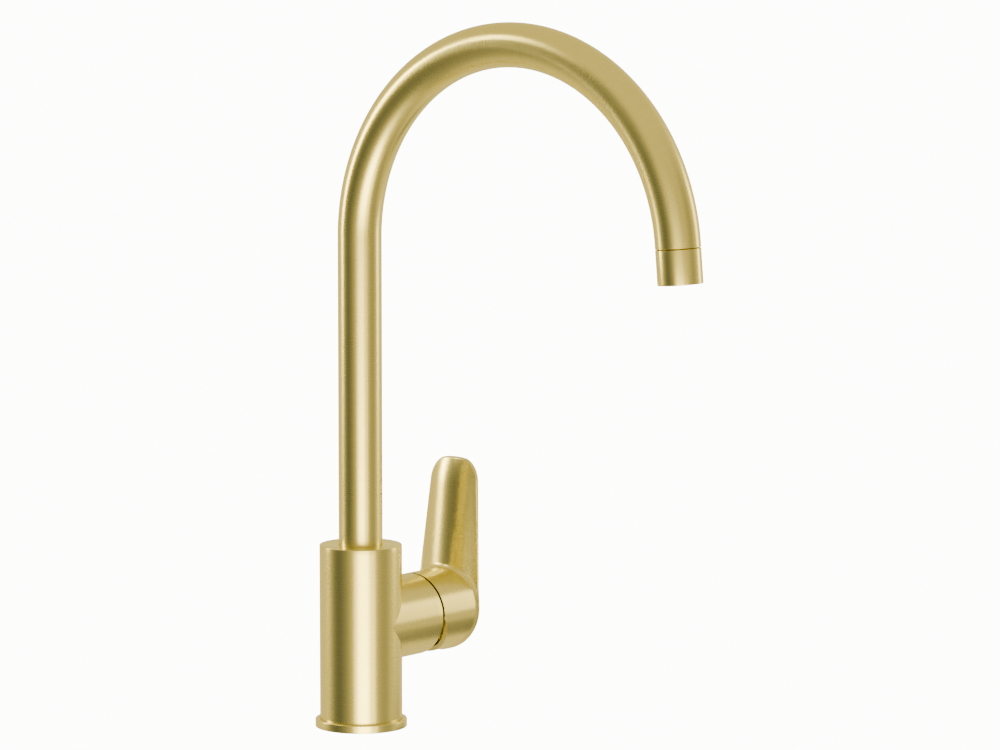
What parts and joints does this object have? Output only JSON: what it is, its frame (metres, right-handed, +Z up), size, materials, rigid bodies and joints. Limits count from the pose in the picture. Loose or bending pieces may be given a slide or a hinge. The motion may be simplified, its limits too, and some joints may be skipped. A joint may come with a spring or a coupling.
{
  "type": "kitchen mixer tap",
  "caption": "Single-lever kitchen mixer: round barrel, side lever on a hub, and a tall swan-neck spout that swivels and ends in an aerator.",
  "frame": {"origin": "on the barrel's axis at the underside that rests on the deck", "axes": "+Z up the barrel, -Y towards the spout's outlet, +X out along the lever's hub"},
  "size_m": [0.1159, 0.271, 0.4146],
  "materials": {
    "brushed_brass": "fine horizontal brushing, satin",
    "raw_brass": "turned",
    "steel": "plain",
    "ceramic": "lapped",
    "acetal": "moulded",
    "grey_plastic": "moulded",
    "rubber": "matt"
  },
  "bodies": {
    "fixed_body": {"valve_body": "brushed_brass", "base_ring": "brushed_brass", "base_seal": "rubber", "spout_retaining_screw": "steel", "cartridge_base": "grey_plastic", "hot_port_seal": "rubber", "cold_port_seal": "rubber", "outlet_port_seal": "rubber", "fixed_ceramic_disc": "ceramic", "cartridge_housing": "grey_plastic", "temperature_limit_ring": "acetal", "cartridge_nut": "raw_brass", "dome_cover": "brushed_brass"},
    "spout": {"spout_tube": "brushed_brass", "spout_spigot": "raw_brass", "lower_glide_ring": "acetal", "lower_spout_o_ring": "rubber", "upper_spout_o_ring": "rubber", "upper_glide_ring": "acetal", "tip_adapter": "raw_brass", "aerator_housing": "brushed_brass", "aerator_washer": "rubber", "aerator_screen": "steel", "aerator_insert": "acetal", "aerator_grille": "grey_plastic"},
    "stem_carriage": {"stem_guide": "acetal", "pivot_pin": "steel"},
    "disc_slide": {"moving_ceramic_disc": "ceramic", "disc_carrier": "acetal"},
    "lever": {"lever_handle": "brushed_brass", "stem_adapter": "grey_plastic", "lever_grub_screw": "steel", "grub_screw_plug": "brushed_brass", "cartridge_stem": "steel"}
  },
  "joints": [
    {"name": "spout_swivel", "type": "hinge", "parent": "fixed_body", "child": "spout", "pos_m": [0, 0, 0.092], "axis": [0, 0, 1], "continuous": true},
    {"name": "temperature_turn", "type": "hinge", "parent": "fixed_body", "child": "stem_carriage", "pos_m": [0.042, 0, 0.06], "axis": [1, 0, 0], "range_deg": [-45, 45]},
    {"name": "flow_lift", "type": "hinge", "parent": "stem_carriage", "child": "lever", "pos_m": [0.042, 0, 0.06], "axis": [0, 1, 0], "range_deg": [0, 22]},
    {"name": "disc_travel", "type": "slide", "parent": "stem_carriage", "child": "disc_slide", "axis": [0, 0, 1], "range_m": [0, 0.0036]}
  ],
  "couplings": [
    {"joint": "disc_travel", "follows": "flow_lift", "m_per_rad": 0.0092}
  ]
}
